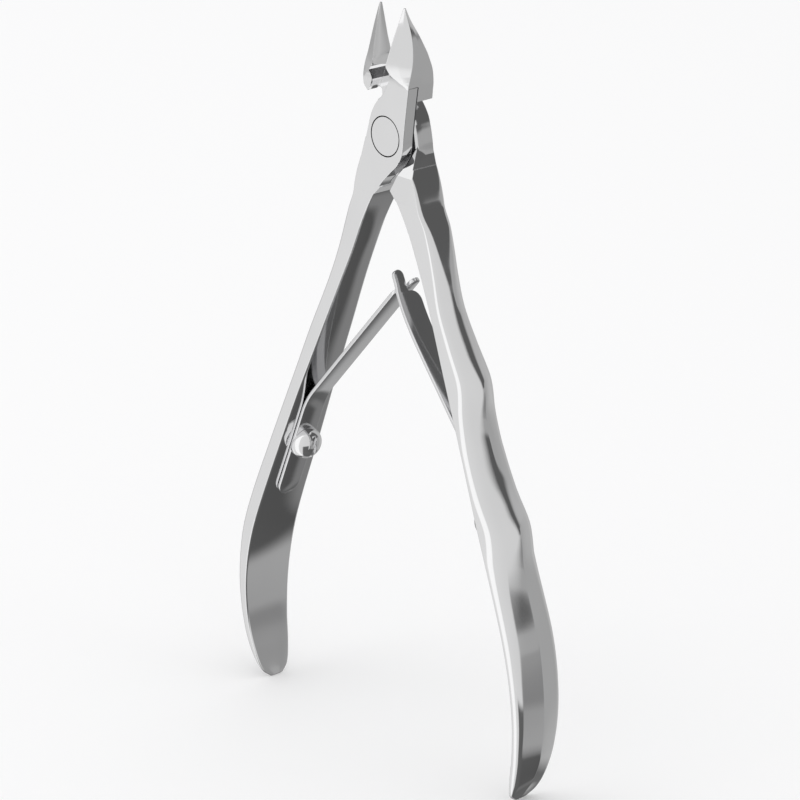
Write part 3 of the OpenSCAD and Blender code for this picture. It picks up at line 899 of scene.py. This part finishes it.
# Brightness round the horizon at rising elevations, as [elevation, [(azimuth, value)]]
FRONT = [(-110, 0.65), (-85, 0.84), (-60, 0.87), (-31, 0.88), (-26, 1.0), (8, 1.0), (15, 0.86)]
SKY = [
    (-62, [(-180, 0.36), (-166, 0.36), (-158, 0.58)] + FRONT + [(40, 0.84), (48, 0.38), (180, 0.36)]),
    (-52, [(-180, 0.38), (-166, 0.38), (-159, 0.67)] + FRONT
     + [(40, 0.84), (48, 0.38), (100, 0.36), (156, 0.31), (163, 0.48), (172, 0.48), (180, 0.38)]),
    (-43, [(-180, 0.40), (-166, 0.42), (-159, 0.67)] + FRONT
     + [(40, 0.84), (48, 0.38), (100, 0.36), (156, 0.31), (163, 0.50), (172, 0.50), (180, 0.40)]),
    (-37, [(-180, 0.70), (-160, 0.68)] + FRONT
     + [(40, 0.84), (48, 0.38), (98, 0.36), (104, 0.62), (160, 0.64), (180, 0.70)]),
    (-22, [(-180, 0.74), (-160, 0.70)] + FRONT
     + [(40, 0.84), (48, 0.38), (98, 0.38), (104, 0.60), (160, 0.64), (180, 0.74)]),
    (-17, [(-180, 0.74), (-160, 0.70)] + FRONT
     + [(96, 0.83), (104, 0.52), (134, 0.52), (141, 0.64), (160, 0.64), (180, 0.73)]),
    (-5, [(-180, 0.74), (-160, 0.70)] + FRONT
     + [(96, 0.83), (104, 0.58), (134, 0.58), (141, 0.64), (160, 0.64), (180, 0.73)]),
    (-2, [(-180, 0.73), (-158, 0.68), (-148, 0.38), (-120, 0.36)] + FRONT
     + [(96, 0.83), (104, 0.64), (160, 0.64), (180, 0.72)]),
    (5, [(-180, 0.73), (-158, 0.68), (-148, 0.38), (-120, 0.36)] + FRONT
     + [(96, 0.83), (104, 0.64), (160, 0.64), (180, 0.72)]),
    (8.5, [(-180, 0.72), (-158, 0.68), (-148, 0.38), (-120, 0.36)] + FRONT
     + [(96, 0.83), (104, 0.35), (160, 0.35), (168, 0.70), (180, 0.72)]),
    (16, [(-180, 0.72), (-158, 0.68), (-148, 0.38), (-120, 0.36)] + FRONT
     + [(96, 0.83), (104, 0.35), (160, 0.35), (168, 0.70), (180, 0.72)]),
    (24, [(-180, 0.72), (-158, 0.68), (-148, 0.38), (-120, 0.36), (-110, 0.65), (-85, 0.84), (-62, 0.90),
          (-52, 0.97), (-40, 0.97), (-31, 0.88), (-26, 1.0), (8, 1.0), (15, 0.86), (96, 0.83), (104, 0.35),
          (160, 0.35), (168, 0.70), (180, 0.72)]),
    (50, [(-180, 0.72), (-158, 0.68), (-148, 0.38), (-120, 0.36), (-110, 0.65), (-85, 0.84), (-62, 0.88),
          (-31, 0.88), (-26, 1.0), (8, 1.0), (15, 0.86), (96, 0.83), (104, 0.35), (160, 0.35), (168, 0.70),
          (180, 0.72)]),
    (60, [(-180, 0.85), (-60, 0.92), (-26, 1.0), (8, 1.0), (40, 0.86), (180, 0.85)]),
]
val = az_ramp(SKY[0][1])
for (e0, _), (e1, stops) in zip(SKY, SKY[1:]):
    val = mixv(step(el_deg, e0, e1), val, az_ramp(stops))
lp = N("ShaderNodeLightPath")
comb = N("ShaderNodeCombineColor")
for k in range(3):
    nt.links.new(val, comb.inputs[k])
bg = N("ShaderNodeBackground")
nt.links.new(comb.outputs[0], bg.inputs[0])
flat = N("ShaderNodeBackground")
flat.inputs[0].default_value = (0.97, 0.97, 0.975, 1)
flat.inputs[1].default_value = 0.985
mx = N("ShaderNodeMixShader")
sel = M("MAXIMUM", lp.outputs["Is Camera Ray"], lp.outputs["Is Diffuse Ray"])
nt.links.new(sel, mx.inputs[0])
nt.links.new(bg.outputs[0], mx.inputs[1])
nt.links.new(flat.outputs[0], mx.inputs[2])
wo = N("ShaderNodeOutputWorld")
nt.links.new(mx.outputs[0], wo.inputs[0])

key = bpy.data.lights.new("key", "AREA")
key.size = 0.9
key.energy = 1.6
ko = bpy.data.objects.new("key", key)
ko.location = (-0.5, -0.7, 1.1)
ko.rotation_euler = (Vector((0, 0, -0.05)) - Vector(ko.location)).to_track_quat("-Z", "Y").to_euler()
ko.visible_glossy = False
bpy.context.scene.collection.objects.link(ko)

bpy.context.scene.view_settings.view_transform = "Standard"
bpy.context.scene.view_settings.look = "None"

# ---------------------------------------------------------------- camera ----
a, e, roll = math.radians(47.43), math.radians(20.96), math.radians(0.53)
back = Vector((math.sin(a) * math.cos(e), -math.cos(a) * math.cos(e), math.sin(e)))
right = Vector((math.cos(a), math.sin(a), 0))
up = back.cross(right)
r2 = right * math.cos(roll) + up * math.sin(roll)
u2 = -right * math.sin(roll) + up * math.cos(roll)
target = Vector((0.00083, -0.0028, -0.04297))
cam = bpy.data.cameras.new("camera")
cam.lens = 141.41
cam.sensor_width = 36
cam.clip_start, cam.clip_end = 0.01, 20
co = bpy.data.objects.new("camera", cam)
co.matrix_world = Matrix((
    (r2.x, u2.x, back.x, target.x + back.x * 0.48994),
    (r2.y, u2.y, back.y, target.y + back.y * 0.48994),
    (r2.z, u2.z, back.z, target.z + back.z * 0.48994),
    (0, 0, 0, 1)))
bpy.context.scene.collection.objects.link(co)
bpy.context.scene.camera = co

lo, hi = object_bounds()
